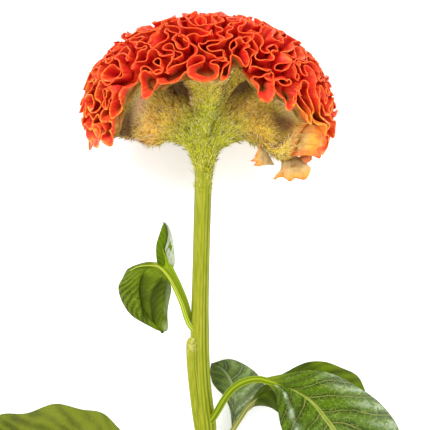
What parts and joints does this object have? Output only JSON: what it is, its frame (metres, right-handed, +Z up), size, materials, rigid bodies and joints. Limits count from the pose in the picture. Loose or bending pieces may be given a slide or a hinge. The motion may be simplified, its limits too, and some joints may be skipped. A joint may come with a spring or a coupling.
{
  "type": "crested celosia flower",
  "caption": "Cut crested celosia: a drooping comb of ruffled ribbon on a hairy fan, with a ribbed stem and leaves, lying on its back.",
  "frame": {"origin": "on the table under the centre of the flower's outline", "axes": "+Y from the cut end of the stem towards the crown of the comb, +Z up from the table, +X across the comb"},
  "size_m": [0.2044, 0.2394, 0.0731],
  "materials": {
    "comb": "velvety red-orange ruffles with brighter orange rims",
    "fan": "hairy yellow-green",
    "stem": "satin yellow-green, ribbed",
    "leaf": "glossy dark green, veined",
    "frill": "pale peach with orange edges"
  },
  "bodies": {
    "root": {"comb": "comb", "fan": "fan", "stem": "stem", "leaf_left_hanging": "leaf", "leaf_left_upright": "leaf", "leaf_right_front": "leaf", "leaf_right_back": "leaf", "leaf_right_lower": "leaf", "leaf_left_lower": "leaf", "frill_lower": "frill", "frill_outer": "frill", "frill_inner": "frill"}
  },
  "joints": []
}
